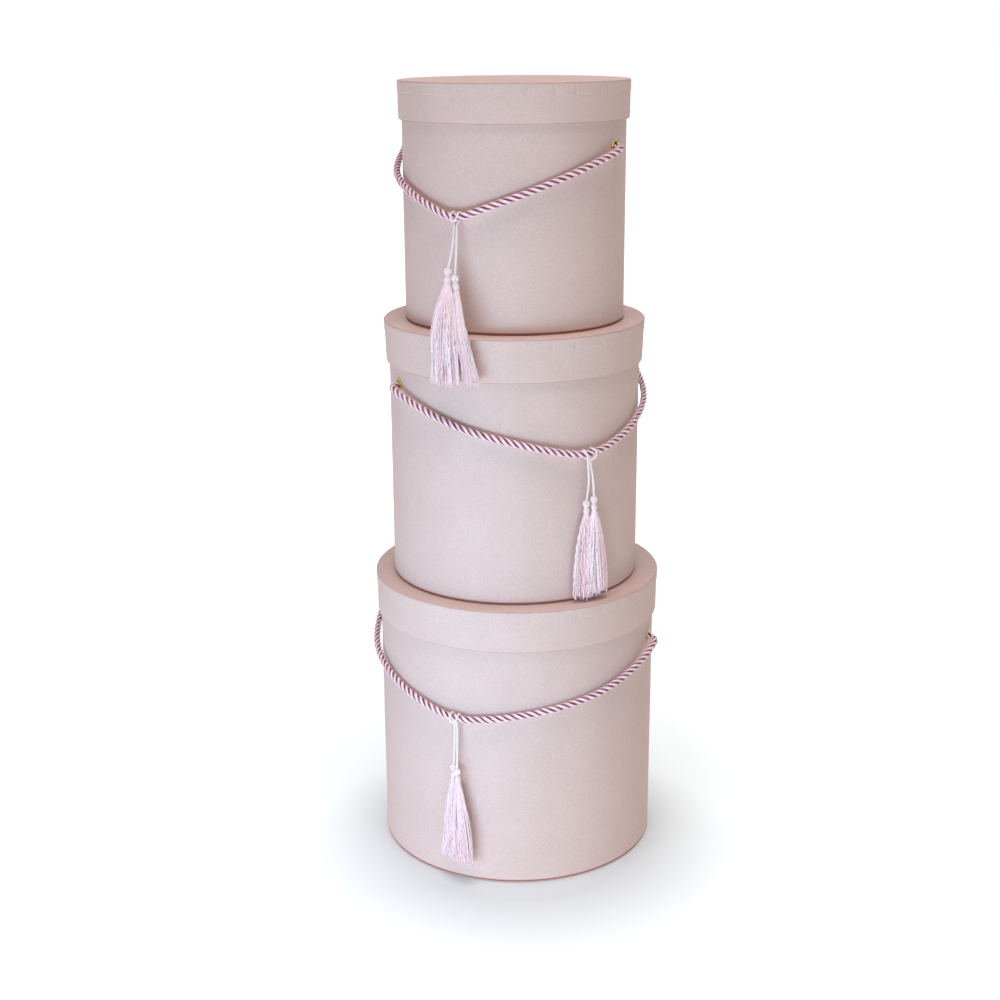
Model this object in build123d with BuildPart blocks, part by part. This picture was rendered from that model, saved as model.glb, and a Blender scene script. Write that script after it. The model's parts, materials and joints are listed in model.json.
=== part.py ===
"""A set of three round, paper-covered hat boxes, standing one on another.

Millimetres, +Z up, the front towards -Y. The origin is the centre of the largest box's
underside. Each box is a rolled board drum with a loose lid, two eyelets, a twisted cord
handle that hangs round its front, and a pair of tassels hitched on the cord.
"""

import os
from dataclasses import dataclass
from math import cos, pi, radians, sin, tan

from build123d import *

# --- Board and paper, the same on all three boxes ---
WALL_BOARD = 2.0
RIM_BOARD = 1.6
PAPER = 0.3
TURN_IN = 12.0  # how far a wrap is turned over an edge and glued down inside
BASE_TURN_IN = 14.0  # the same, under the base
TOP_TURN_DOWN = 9.0  # how far the lid's top paper comes down over its rim
BASE_INSET = 1.5  # the base paper stops this far short of the wall
LID_REST_GAP = 0.1
WRAP_EDGE = 0.8  # the rim wrap starts this far below the lid's top
STEP_RUN = 1.5  # height over which the wrap eases off the turned-down paper

# --- Eyelets, their washers and the stopper knots ---
EYELET_BORE = 3.3
EYELET_BARREL = 3.8
EYELET_FLANGE = 6.0
EYELET_LIP = 1.0
EYELET_ROLL = 0.45  # rounding of the rolled lip
EYELET_FLARE = 4.9
FLARE_THICKNESS = 0.5
WASHER_RADIUS = 6.3
EYELET_HOLE = 3.85
CURVE_GAP = 0.25  # flat washer against the hollow side of a curved wall
KNOT_RADIUS = 7.3
KNOT_FLAT = 6.3  # from the knot's centre to its flat against the cord
KNOT_GAP = 0.35
TAIL_RADIUS = 2.8
TAIL_LENGTH = 16.0  # from the knot's centre to the tail's end

# --- Cord handle, hitch and tassels ---
CORD_RADIUS = 3.0
BEND_SHARE = 0.45  # each bend takes this share of its shorter run
HITCH_BORE = 3.5
HITCH_RADIUS = 5.1
HITCH_WIDTH = 4.0
LEG_RADIUS = 1.0
LEG_DROP = 6.3  # from the handle's centre line to the top of a tassel's cord
LEG_SPREAD = 1.3
LEG_BENDS = (0.22, 0.55)  # share of its sideways reach that a leg has made by each bend
BALL_RADIUS = 2.8
BALL_FLAT = 45.0  # degrees below the ball's equator where its flat is cut
NECK_RADIUS = 2.2
BINDING = (2.7, 2.65)  # half the bound neck's width and depth
BINDING_DROP = 8.0  # below the ball knot
WAIST_DROP = 20.0
WAIST = (3.9, 3.4)
HEM_DEPTH = 4.2


@dataclass(frozen=True)
class Tassel:
    """One tassel, measured from the hitch: sideways (right is +), down and outwards."""

    side: str
    ball_offset: float
    ball_drop: float
    hem_offset: float
    hem_drop: float
    hem_width: float  # half the skirt's width at its hem


@dataclass(frozen=True)
class HatBox:
    """One box of the set, and where it stands in the stack."""

    name: str
    lid_radius: float
    wall_radius: float
    height: float  # closed, from the base's underside to the lid's top
    rim: float  # depth of the lid's rim
    draw: float  # how much narrower the rim is at its lower edge
    shift: float  # how far the box stands off the stack's axis, along X
    floor: float  # height of its base above the ground
    eyelet_turn: float  # degrees round from the front, right is +
    eyelet_height: float
    route: tuple  # the cord's own points, each (turn, stand-off from the wall, height)
    hitch: int  # the hitch sits halfway between this point of the route and the next
    tassels: tuple
    lean: float = 0.0  # how far the tassels are pushed outwards by a lid below them
    lean_drop: float = 1.0  # how far below the hitch they reach that stand-off

    @property
    def wall_inside(self):
        return self.wall_radius - PAPER - WALL_BOARD

    @property
    def lining_inside(self):
        return self.wall_inside - PAPER

    @property
    def wall_top(self):
        """Top edge of the wall with its wrap, just under the lid's lining."""
        return self.height - PAPER - WALL_BOARD - PAPER - LID_REST_GAP

    @property
    def rim_bottom(self):
        return self.height - self.rim

    def drawn(self, radius, height):
        """A rim radius at a height, with the rim's slight draw taken off."""
        return radius - self.draw * (self.height - height) / self.rim


LARGE_ROUTE = (
    (71.0, 3.6, 196.0), (69.0, 8.3, 194.5), (65.0, 7.6, 191.4), (57.8, 6.2, 185.6),
    (47.0, 5.2, 178.4), (33.5, 5.0, 171.0), (19.0, 5.0, 165.4), (5.0, 5.0, 160.4),
    (-8.0, 5.2, 156.0), (-16.5, 6.0, 153.8), (-22.0, 6.6, 153.0), (-28.0, 6.4, 153.8),
    (-37.0, 5.6, 158.0), (-48.0, 5.2, 163.6), (-61.0, 5.0, 170.6), (-74.0, 5.2, 177.2),
    (-86.0, 5.4, 182.2), (-97.0, 6.2, 187.4), (-103.2, 7.4, 191.4), (-107.0, 8.3, 194.5),
    (-109.0, 3.6, 196.0),
)
MEDIUM_ROUTE = (
    (-65.0, 3.6, 174.0), (-62.7, 8.3, 172.5), (-58.2, 7.6, 170.0), (-50.5, 6.2, 166.0),
    (-39.5, 5.2, 159.6), (-26.5, 5.0, 151.6), (-12.5, 5.0, 145.0), (2.0, 5.0, 138.4),
    (15.0, 5.2, 132.2), (24.2, 6.0, 128.4), (30.4, 6.6, 127.0), (36.6, 6.4, 127.8),
    (45.5, 5.6, 131.8), (57.5, 5.2, 138.4), (70.5, 5.2, 146.6), (83.5, 5.4, 153.8),
    (95.5, 5.8, 160.2), (103.6, 6.4, 165.4), (108.6, 7.4, 169.2), (112.7, 8.3, 172.5),
    (115.0, 3.6, 174.0),
)
SMALL_ROUTE = (
    (60.0, 3.6, 144.5), (57.3, 8.3, 143.1), (52.2, 7.6, 140.2), (43.2, 6.2, 135.4),
    (31.0, 5.2, 128.4), (15.5, 5.0, 119.2), (0.5, 5.0, 109.8), (-12.0, 5.4, 102.6),
    (-20.4, 6.2, 97.2), (-26.4, 6.6, 93.6), (-32.4, 6.4, 93.8), (-42.0, 5.6, 99.4),
    (-55.0, 5.2, 106.8), (-69.5, 5.2, 114.2), (-84.5, 5.4, 121.2), (-98.0, 5.8, 128.0),
    (-107.2, 6.4, 134.2), (-112.6, 7.4, 138.8), (-117.3, 8.3, 142.9), (-120.0, 3.6, 144.5),
)

LARGE = HatBox(
    name="large", lid_radius=125.0, wall_radius=121.5, height=250.5, rim=36.0, draw=0.5,
    shift=0.0, floor=0.0, eyelet_turn=71.0, eyelet_height=196.0,
    route=LARGE_ROUTE, hitch=10,
    tassels=(
        Tassel("left", -3.2, 46.8, -8.0, 139.0, 7.6),
        Tassel("right", 2.8, 47.4, 8.2, 141.0, 7.6),
    ),
)
MEDIUM = HatBox(
    name="medium", lid_radius=111.2, wall_radius=107.0, height=223.5, rim=35.5, draw=1.3,
    shift=-1.6, floor=LARGE.height + LID_REST_GAP, eyelet_turn=-65.0, eyelet_height=174.0,
    route=MEDIUM_ROUTE, hitch=10,
    tassels=(
        Tassel("left", -5.8, 42.4, -10.0, 124.0, 8.5),
        Tassel("right", 0.4, 39.0, 8.5, 125.2, 8.5),
    ),
)
SMALL = HatBox(
    name="small", lid_radius=95.8, wall_radius=92.6, height=195.5, rim=31.0, draw=0.2,
    shift=-1.1, floor=MEDIUM.floor + MEDIUM.height + LID_REST_GAP,
    eyelet_turn=60.0, eyelet_height=144.5,
    route=SMALL_ROUTE, hitch=9,
    tassels=(
        Tassel("left", -4.6, 41.5, -3.8, 132.0, 10.5),
        Tassel("right", 1.8, 46.6, 17.0, 128.0, 9.3),
    ),
    lean=17.9, lean_drop=90.0,
)


# --- Placing ---


def outward(turn):
    """Level unit vector pointing away from the axis, `turn` degrees round from the front."""
    return Vector(sin(radians(turn)), -cos(radians(turn)), 0)


def sideways(turn):
    """Level unit vector along the wall at that turn, towards the right."""
    return Vector(cos(radians(turn)), sin(radians(turn)), 0)


def centre(box, height=0.0):
    return Vector(box.shift, 0, box.floor + height)


def place(box, turn, stand_off, height):
    """The point that stands off a box's wall at a turn and a height above its base."""
    return centre(box, height) + outward(turn) * (box.wall_radius + stand_off)


def eyelet_turns(box):
    """The two eyelets face each other across the box."""
    return box.eyelet_turn, box.eyelet_turn - 180.0


def eyelet_plane(box, turn):
    """Local x is up, local y points out of the eyelet along its axis."""
    middle = centre(box, box.eyelet_height)
    return Plane(origin=middle, x_dir=(0, 0, 1), z_dir=sideways(turn))


def eyelet_axis(box, turn):
    return Axis(centre(box, box.eyelet_height), outward(turn))


# --- Building blocks ---


def save(part, name):
    part.label = name
    export_step(part, f"parts/{name}.step")


def turned(box, outline, drilled=False):
    """A piece of revolution about the box's axis, from (radius, height) points."""
    with BuildPart() as piece:
        with BuildSketch(Plane(origin=centre(box), x_dir=(1, 0, 0), z_dir=(0, -1, 0))):
            with BuildLine():
                Polyline(*outline, close=True)
            make_face()
        revolve(axis=Axis(centre(box), (0, 0, 1)))
        if drilled:
            across = Plane(origin=centre(box, box.eyelet_height), z_dir=outward(box.eyelet_turn))
            with BuildSketch(across):
                Circle(EYELET_HOLE)
            extrude(amount=box.lid_radius, both=True, mode=Mode.SUBTRACT)
    return piece.part


def band(inner, outer, low, high):
    """Outline of a plain ring, or of a disc where inner is 0."""
    return [(inner, low), (outer, low), (outer, high), (inner, high)]


# --- The drum: board wall and base, wrap, linings ---


def wall_board(box):
    outline = band(box.wall_inside, box.wall_radius - PAPER, 2 * PAPER, box.wall_top - PAPER)
    return turned(box, outline, drilled=True)


def wall_paper(box):
    """The wrap: over the top edge into the drum, and round under the base."""
    outer, skin = box.wall_radius, box.wall_radius - PAPER
    inner, top = box.lining_inside, box.wall_top
    outline = [
        (outer, PAPER), (outer, top), (inner, top), (inner, top - TURN_IN),
        (box.wall_inside, top - TURN_IN), (box.wall_inside, top - PAPER), (skin, top - PAPER),
        (skin, 2 * PAPER), (outer - BASE_TURN_IN, 2 * PAPER), (outer - BASE_TURN_IN, PAPER),
    ]
    return turned(box, outline, drilled=True)


def wall_lining(box):
    low = 2 * PAPER + WALL_BOARD
    outline = band(box.lining_inside, box.wall_inside, low, box.wall_top - TURN_IN)
    return turned(box, outline, drilled=True)


def base_board(box):
    return turned(box, band(0, box.wall_inside, 2 * PAPER, 2 * PAPER + WALL_BOARD))


def base_paper(box):
    return turned(box, band(0, box.wall_radius - BASE_INSET, 0, PAPER))


def base_lining(box):
    low = 2 * PAPER + WALL_BOARD
    return turned(box, band(0, box.lining_inside, low, low + PAPER))


# --- The lid: top and rim boards, top paper turned down, rim wrap, lining ---


def lid_top_board(box):
    top, low = box.height - PAPER, box.height - PAPER - WALL_BOARD
    outer = box.lid_radius - 2 * PAPER
    outline = [(0, low), (box.drawn(outer, low), low), (box.drawn(outer, top), top), (0, top)]
    return turned(box, outline)


def lid_rim_board(box):
    top, low = box.height - PAPER - WALL_BOARD, box.rim_bottom + PAPER
    outer = box.lid_radius - 2 * PAPER
    outline = [
        (box.drawn(outer, top), top), (box.drawn(outer, low), low),
        (box.drawn(outer - RIM_BOARD, low), low), (box.drawn(outer - RIM_BOARD, top), top),
    ]
    return turned(box, outline)


def lid_top_paper(box):
    """A disc over the top board, with its edge turned down over the rim."""
    top, low = box.height, box.height - TOP_TURN_DOWN
    outer, skin = box.lid_radius - PAPER, box.lid_radius - 2 * PAPER
    outline = [
        (0, top), (outer, top), (box.drawn(outer, low), low), (box.drawn(skin, low), low),
        (box.drawn(skin, top - PAPER), top - PAPER), (0, top - PAPER),
    ]
    return turned(box, outline)


def lid_rim_paper(box):
    """The rim wrap: over the turned-down paper, down the rim and up inside it."""
    edge, step = box.height - WRAP_EDGE, box.height - TOP_TURN_DOWN
    eased, low = step - STEP_RUN, box.rim_bottom
    outer, skin = box.lid_radius, box.lid_radius - PAPER
    board = skin - PAPER
    inside = board - RIM_BOARD
    turn = low + TURN_IN
    outline = [
        (box.drawn(outer, edge), edge), (box.drawn(outer, step), step),
        (box.drawn(skin, eased), eased), (box.drawn(skin, low), low),
        (box.drawn(inside - PAPER, low), low), (box.drawn(inside - PAPER, turn), turn),
        (box.drawn(inside, turn), turn), (box.drawn(inside, low + PAPER), low + PAPER),
        (box.drawn(board, low + PAPER), low + PAPER), (box.drawn(board, step), step),
        (box.drawn(skin, step), step), (box.drawn(skin, edge), edge),
    ]
    return turned(box, outline)


def lid_lining(box):
    """A shallow cup that lines the lid down to the rim wrap's turned-in edge."""
    top, low = box.height - PAPER - WALL_BOARD, box.rim_bottom + TURN_IN
    outer = box.lid_radius - 2 * PAPER - RIM_BOARD
    outline = [
        (0, top), (box.drawn(outer, top), top), (box.drawn(outer, low), low),
        (box.drawn(outer - PAPER, low), low), (box.drawn(outer - PAPER, top), top - PAPER),
        (0, top - PAPER),
    ]
    return turned(box, outline)


# --- Eyelets, washers and knots, one of each at either end of the cord ---


def washer_seat(box):
    """Distance from the box's axis to the inner washer's outer face."""
    return box.lining_inside - CURVE_GAP


def knot_centre(box):
    flare_end = washer_seat(box) - 2 * FLARE_THICKNESS
    return flare_end - KNOT_GAP - KNOT_FLAT


def eyelets(box):
    """A spool outline: rolled lip outside, barrel through the wall, flare inside."""
    out, seat = box.wall_radius, washer_seat(box) - FLARE_THICKNESS
    with BuildPart() as pair:
        for turn in eyelet_turns(box):
            with BuildSketch(eyelet_plane(box, turn)):
                with BuildLine():
                    Polyline(
                        (EYELET_BORE, out + EYELET_LIP), (EYELET_FLANGE, out + EYELET_LIP),
                        (EYELET_FLANGE, out), (EYELET_BARREL, out), (EYELET_BARREL, seat),
                        (EYELET_FLARE, seat), (EYELET_FLARE, seat - FLARE_THICKNESS),
                        (EYELET_BORE, seat - FLARE_THICKNESS), close=True,
                    )
                lip = make_face()
                fillet(lip.vertices().group_by(Axis(centre(box), outward(turn)))[-1], EYELET_ROLL)
            revolve(axis=eyelet_axis(box, turn))
    return pair.part


def eyelet_washers(box):
    seat = washer_seat(box)
    with BuildPart() as pair:
        for turn in eyelet_turns(box):
            face = Plane(origin=centre(box, box.eyelet_height) + outward(turn) * seat,
                         z_dir=outward(turn))
            with BuildSketch(face):
                Circle(WASHER_RADIUS)
                Circle(EYELET_HOLE, mode=Mode.SUBTRACT)
            extrude(amount=-FLARE_THICKNESS)
    return pair.part


def cord_knots(box):
    """Stopper knots inside the box, each with a short tail, flat where the cord meets it."""
    middle = knot_centre(box)
    with BuildPart() as pair:
        for turn in eyelet_turns(box):
            with BuildSketch(eyelet_plane(box, turn)):
                with Locations((0, middle)):
                    Circle(KNOT_RADIUS)
                with Locations((0, middle + KNOT_FLAT)):
                    Rectangle(4 * KNOT_RADIUS, KNOT_RADIUS, align=(Align.CENTER, Align.MIN),
                              mode=Mode.SUBTRACT)
                with Locations((0, middle)):
                    Rectangle(2 * TAIL_RADIUS, TAIL_LENGTH, align=(Align.CENTER, Align.MAX))
                    Rectangle(2 * KNOT_RADIUS, 4 * TAIL_LENGTH, align=(Align.MAX, Align.CENTER),
                              mode=Mode.SUBTRACT)
            revolve(axis=eyelet_axis(box, turn))
    return pair.part


# --- Cords: straight runs joined by arcs ---


def bend_radii(points):
    """Radius at each inner point, as large as its two runs allow."""
    radii = []
    for before, here, after in zip(points, points[1:], points[2:]):
        run = min((here - before).length, (after - here).length)
        turn = radians((here - before).get_angle(after - here))
        radii.append(BEND_SHARE * run / tan(turn / 2))
    return radii


def cord_tube(points, radius, name):
    """A round tube along the points; prints its bends and checks its volume."""
    radii = bend_radii(points)
    with BuildPart() as tube:
        with BuildLine() as path:
            line = FilletPolyline(*points, radius=radii)
        with BuildSketch(Plane(origin=line @ 0, z_dir=line % 0)):
            Circle(radius)
        sweep()
    length = line.length
    share = tube.part.volume / (pi * radius**2 * length)
    print(f"{name}: {length:.1f} mm long, bends {min(radii):.1f} to {max(radii):.0f} mm, "
          f"volume {share:.4f} of section times length")
    return tube


def route_points(box):
    """The handle's route: out of one knot, round the front and into the other knot."""
    start = knot_centre(box) + KNOT_FLAT - box.wall_radius
    near, far = [(turn, start, box.eyelet_height) for turn in eyelet_turns(box)]
    return [place(box, *point) for point in (near, *box.route, far)]


def hitch_points(box):
    """The route's two points on either side of the hitch."""
    return [place(box, *box.route[i]) for i in (box.hitch, box.hitch + 1)]


def hitch_centre(box):
    before, after = hitch_points(box)
    return (before + after) * 0.5


def hitch_turn(box):
    return (box.route[box.hitch][0] + box.route[box.hitch + 1][0]) / 2


def tassel_hitch(box):
    """The tassel cord's hitch, as a plain ring round the handle."""
    before, after = hitch_points(box)
    with BuildPart() as ring:
        with BuildSketch(Plane(origin=hitch_centre(box), z_dir=after - before)):
            Circle(HITCH_RADIUS)
            Circle(HITCH_BORE, mode=Mode.SUBTRACT)
        extrude(amount=HITCH_WIDTH / 2, both=True)
    return ring.part


def hanging(box, offset, drop):
    """A point of a tassel, sideways and down from the hitch, pushed out by its lean."""
    out = box.lean * min(max(drop - LEG_DROP, 0) / (box.lean_drop - LEG_DROP), 1)
    turn = hitch_turn(box)
    return hitch_centre(box) + sideways(turn) * offset + outward(turn) * out - Vector(0, 0, drop)


def ball_bottom(tassel):
    """Drop from the hitch to the ball knot's flat, where the neck begins."""
    return tassel.ball_drop + BALL_RADIUS * sin(radians(BALL_FLAT))


def tassel_cord(box, tassel):
    """One hanging leg of the tassel's cord, ending in its ball knot."""
    top = -LEG_SPREAD if tassel.side == "left" else LEG_SPREAD
    run = (tassel.ball_drop - LEG_DROP) / (len(LEG_BENDS) + 1)
    reach = tassel.ball_offset - top
    points = [hanging(box, top, LEG_DROP)]
    for i, share in enumerate(LEG_BENDS, start=1):
        points.append(hanging(box, top + share * reach, LEG_DROP + i * run))
    points.append(hanging(box, tassel.ball_offset, tassel.ball_drop - BALL_RADIUS / 2))
    leg = cord_tube(points, LEG_RADIUS, f"{box.name}_tassel_{tassel.side}_cord")
    with leg:
        with Locations(hanging(box, tassel.ball_offset, ball_bottom(tassel))):
            Sphere(BALL_RADIUS, arc_size1=-BALL_FLAT,
                   align=(Align.CENTER, Align.CENTER, Align.MIN))
    return leg.part


def tassel_skirt(box, tassel):
    """Bound neck and hanging threads as one closed solid, wider towards the hem."""
    waist = tassel.ball_drop + WAIST_DROP
    turn = hitch_turn(box)

    def offset(drop):
        share = (drop - tassel.ball_drop) / (tassel.hem_drop - tassel.ball_drop)
        return tassel.ball_offset + share * (tassel.hem_offset - tassel.ball_offset)

    def half_size(drop):
        share = (drop - waist) / (tassel.hem_drop - waist)
        return (WAIST[0] + share * (tassel.hem_width - WAIST[0]),
                WAIST[1] + share * (HEM_DEPTH - WAIST[1]))

    sections = [
        (ball_bottom(tassel), (NECK_RADIUS, NECK_RADIUS)),
        (tassel.ball_drop + BINDING_DROP, BINDING),
        (waist, WAIST),
    ]
    if box.lean:
        sections.append((box.lean_drop, half_size(box.lean_drop)))
    sections.append((tassel.hem_drop, half_size(tassel.hem_drop)))
    with BuildPart() as skirt:
        for drop, (half_width, half_depth) in sections:
            level = Plane(origin=hanging(box, offset(drop), drop), x_dir=sideways(turn))
            with BuildSketch(level):
                Ellipse(half_width, half_depth)
        loft(ruled=True)
    return skirt.part


# --- The set ---

PIECES = {
    "wall_board": wall_board,
    "wall_paper": wall_paper,
    "wall_lining": wall_lining,
    "base_board": base_board,
    "base_paper": base_paper,
    "base_lining": base_lining,
    "lid_top_board": lid_top_board,
    "lid_rim_board": lid_rim_board,
    "lid_top_paper": lid_top_paper,
    "lid_rim_paper": lid_rim_paper,
    "lid_lining": lid_lining,
    "eyelets": eyelets,
    "eyelet_washers": eyelet_washers,
    "cord_knots": cord_knots,
    "tassel_hitch": tassel_hitch,
}

os.makedirs("parts", exist_ok=True)
for box in (LARGE, MEDIUM, SMALL):
    for name, build in PIECES.items():
        save(build(box), f"{box.name}_{name}")
    handle = f"{box.name}_handle_cord"
    save(cord_tube(route_points(box), CORD_RADIUS, handle).part, handle)
    for tassel in box.tassels:
        save(tassel_cord(box, tassel), f"{box.name}_tassel_{tassel.side}_cord")
        save(tassel_skirt(box, tassel), f"{box.name}_tassel_{tassel.side}_skirt")
    spot = hitch_centre(box)
    print(f"{box.name}: hitch at {spot.X:.2f}, {spot.Y:.2f}, {spot.Z:.2f}")
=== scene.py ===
"""The looks of a set of three round, paper-covered hat boxes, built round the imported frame.

Metres, +Z up, the front towards -Y, in the frame's own axes. Places and sizes come from the
frame's nodes, and the handles take the frame's routes. The tassels hang close to the frame's.
A turn is in degrees round from the front, with the right as +.
"""

import json
from dataclasses import dataclass
from math import cos, pi, radians, sin

import bpy
import numpy as np
from mathutils import Euler, Matrix, Vector
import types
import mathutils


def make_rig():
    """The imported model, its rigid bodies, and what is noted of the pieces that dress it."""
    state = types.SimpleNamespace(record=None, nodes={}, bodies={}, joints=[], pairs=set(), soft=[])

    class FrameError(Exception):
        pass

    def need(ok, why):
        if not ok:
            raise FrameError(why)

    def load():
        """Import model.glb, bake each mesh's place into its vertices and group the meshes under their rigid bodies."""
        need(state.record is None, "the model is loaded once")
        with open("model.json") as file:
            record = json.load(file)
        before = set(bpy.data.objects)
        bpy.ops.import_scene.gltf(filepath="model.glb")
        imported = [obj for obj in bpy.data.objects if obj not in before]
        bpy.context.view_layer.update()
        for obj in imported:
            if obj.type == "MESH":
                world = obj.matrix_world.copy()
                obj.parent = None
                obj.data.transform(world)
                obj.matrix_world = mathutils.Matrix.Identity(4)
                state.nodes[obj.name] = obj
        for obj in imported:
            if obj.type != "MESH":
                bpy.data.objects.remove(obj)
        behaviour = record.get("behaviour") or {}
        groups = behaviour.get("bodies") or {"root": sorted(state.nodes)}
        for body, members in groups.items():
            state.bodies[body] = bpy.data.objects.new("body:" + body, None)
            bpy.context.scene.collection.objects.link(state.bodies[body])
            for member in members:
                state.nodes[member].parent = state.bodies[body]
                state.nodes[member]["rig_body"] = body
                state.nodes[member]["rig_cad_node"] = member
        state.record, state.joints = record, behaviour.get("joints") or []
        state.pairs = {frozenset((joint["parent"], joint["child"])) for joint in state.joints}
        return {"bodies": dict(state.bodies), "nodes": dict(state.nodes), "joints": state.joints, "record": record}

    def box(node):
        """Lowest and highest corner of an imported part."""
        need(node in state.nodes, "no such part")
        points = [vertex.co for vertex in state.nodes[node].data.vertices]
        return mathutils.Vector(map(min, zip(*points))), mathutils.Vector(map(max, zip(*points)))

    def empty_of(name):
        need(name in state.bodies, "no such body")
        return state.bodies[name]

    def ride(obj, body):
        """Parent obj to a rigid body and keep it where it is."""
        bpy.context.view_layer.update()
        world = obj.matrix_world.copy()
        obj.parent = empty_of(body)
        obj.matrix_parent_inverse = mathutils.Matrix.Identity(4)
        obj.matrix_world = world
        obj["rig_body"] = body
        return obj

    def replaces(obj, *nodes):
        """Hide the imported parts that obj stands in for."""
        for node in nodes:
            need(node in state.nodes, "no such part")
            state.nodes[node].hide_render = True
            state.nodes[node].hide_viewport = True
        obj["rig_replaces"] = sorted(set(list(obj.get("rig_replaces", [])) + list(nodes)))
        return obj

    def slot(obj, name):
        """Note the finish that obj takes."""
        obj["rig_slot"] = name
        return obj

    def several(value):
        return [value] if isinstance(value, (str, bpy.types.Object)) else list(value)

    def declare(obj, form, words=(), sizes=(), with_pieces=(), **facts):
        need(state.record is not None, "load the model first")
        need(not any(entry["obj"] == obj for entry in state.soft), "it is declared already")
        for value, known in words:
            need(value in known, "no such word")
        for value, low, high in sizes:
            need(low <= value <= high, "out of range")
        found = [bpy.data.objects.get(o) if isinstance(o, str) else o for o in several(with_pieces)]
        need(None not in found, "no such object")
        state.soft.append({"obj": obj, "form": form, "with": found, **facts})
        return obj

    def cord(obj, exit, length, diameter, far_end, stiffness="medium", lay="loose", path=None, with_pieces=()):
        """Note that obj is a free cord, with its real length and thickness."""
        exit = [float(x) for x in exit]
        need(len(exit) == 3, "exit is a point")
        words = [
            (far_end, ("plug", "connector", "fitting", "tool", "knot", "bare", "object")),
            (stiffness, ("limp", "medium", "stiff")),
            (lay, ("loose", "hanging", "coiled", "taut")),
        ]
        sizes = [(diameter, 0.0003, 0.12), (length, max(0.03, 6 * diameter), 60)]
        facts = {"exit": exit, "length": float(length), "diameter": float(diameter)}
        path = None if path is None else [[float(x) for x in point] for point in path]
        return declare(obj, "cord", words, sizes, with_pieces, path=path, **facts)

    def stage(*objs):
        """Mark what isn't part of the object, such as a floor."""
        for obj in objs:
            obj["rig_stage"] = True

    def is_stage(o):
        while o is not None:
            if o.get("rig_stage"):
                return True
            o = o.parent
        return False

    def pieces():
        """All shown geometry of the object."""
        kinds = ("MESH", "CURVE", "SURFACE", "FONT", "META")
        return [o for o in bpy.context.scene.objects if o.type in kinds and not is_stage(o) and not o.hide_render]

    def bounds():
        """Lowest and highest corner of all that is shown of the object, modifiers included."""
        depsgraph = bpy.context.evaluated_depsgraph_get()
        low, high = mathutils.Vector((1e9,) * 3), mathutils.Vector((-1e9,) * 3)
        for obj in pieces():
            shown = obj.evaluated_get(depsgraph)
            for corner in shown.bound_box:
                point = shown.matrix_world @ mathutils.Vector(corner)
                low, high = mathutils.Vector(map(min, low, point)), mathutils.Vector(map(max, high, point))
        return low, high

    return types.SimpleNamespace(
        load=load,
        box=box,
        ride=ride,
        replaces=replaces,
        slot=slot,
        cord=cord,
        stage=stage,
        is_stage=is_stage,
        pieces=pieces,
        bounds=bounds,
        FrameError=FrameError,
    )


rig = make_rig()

MM = 0.001

# --- Paper and board, as the frame has them ---
PAPER = 0.3 * MM
WALL_BOARD = 2 * MM
RIM_BOARD = 1.6 * MM
TURN_IN = 12 * MM
BASE_TURN_IN = 14 * MM
FOLD_RADIUS = 0.5 * MM  # rounding of a folded paper edge
BASE_RADIUS = 1.3 * MM
RIM_FOLD_RADIUS = 0.8 * MM  # of the rim wrap's lower edge
ROUND_STEPS = 720  # columns round a wrap
WAVE = 0.12 * MM  # how far hand-rolled board strays from a true circle
WALL_DEPTH = 1.6 * MM  # a relief fades out within this depth behind the outer face
RIM_DEPTH = 2.2 * MM
TOP_DEPTH = 3 * MM
SEAM_UNDER_RIM = 0.3  # how much of the wall's seam still shows under the tight rim
FREE_EDGE_TURNS = (-0.1, -0.03, 0.03, 0.1)  # extra columns beside a wrap's free edge
OVERLAP = 11 * MM  # how far a wrap's two ends overlap, at the back
OVERLAP_TURN = 172
OVERLAP_EASE = 4 * MM

# --- Painted shade at the base's fold and under the lid's rim, and a darker line along the lid's top edge, as shares of the paper's edge colour ---
BASE_PAINTED_SHADE = 1.0
CREASE_FADE = 1.1 * MM  # how far above its fold the base's painted crease shade fades out
RIM_PAINTED_SHADOW = 0.55
RIM_PAINTED_SHADOW_FADE = 0.4 * MM
TOP_EDGE_DARKENING = 0.35
TOP_EDGE_DARKENING_INSET = 0.15 * MM  # of the darkest line, from the lid's edge
TOP_EDGE_DARKENING_FADE = 0.35 * MM

# --- Tabs of the lid's top paper, telegraphed through the rim wrap ---
TAB_WIDTH = 21 * MM
TAB_NOTCH = 2.3 * MM  # half a notch's width at the tabs' lower edge
TAB_NOTCH_TOP = 0.3 * MM
TAB_SOFT = 0.9 * MM
TAB_JITTER = 0.5 * MM  # how unevenly deep the tabs are cut
TAB_UNEVEN = 0.16  # how far a notch strays from its place, in tab widths
TAB_SLANT = 1.2 * MM
TAB_UNCUT = 0.15  # how much of the turned-down edge is left at a notch
TAB_HEIGHT = 0.36 * MM

# --- Cords: over the strands, of a strand, and the length of one turn ---
ROPE_RADIUS = 3 * MM
ROPE_STRAND = 1.46 * MM
ROPE_LAY = 19 * MM
ROPE_STEP = 0.6 * MM
CORD_RADIUS = 1 * MM
CORD_STRAND = 0.55 * MM
CORD_LAY = 4.2 * MM
CORD_STEP = 0.35 * MM
KNOT_STEP = 1.2 * MM
KNOT_UP = (0.3, 0.2, 1.0)  # sets how the stopper knot is turned
KNOT_DEPTH = 1.2  # of the stopper knot, as a share of a true trefoil's
ROUTE_STEPS = 24  # points along each run of a cord's route
STRANDS = 3
ROPE_SIDES = 14  # round each strand
CORD_SIDES = 10

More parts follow.
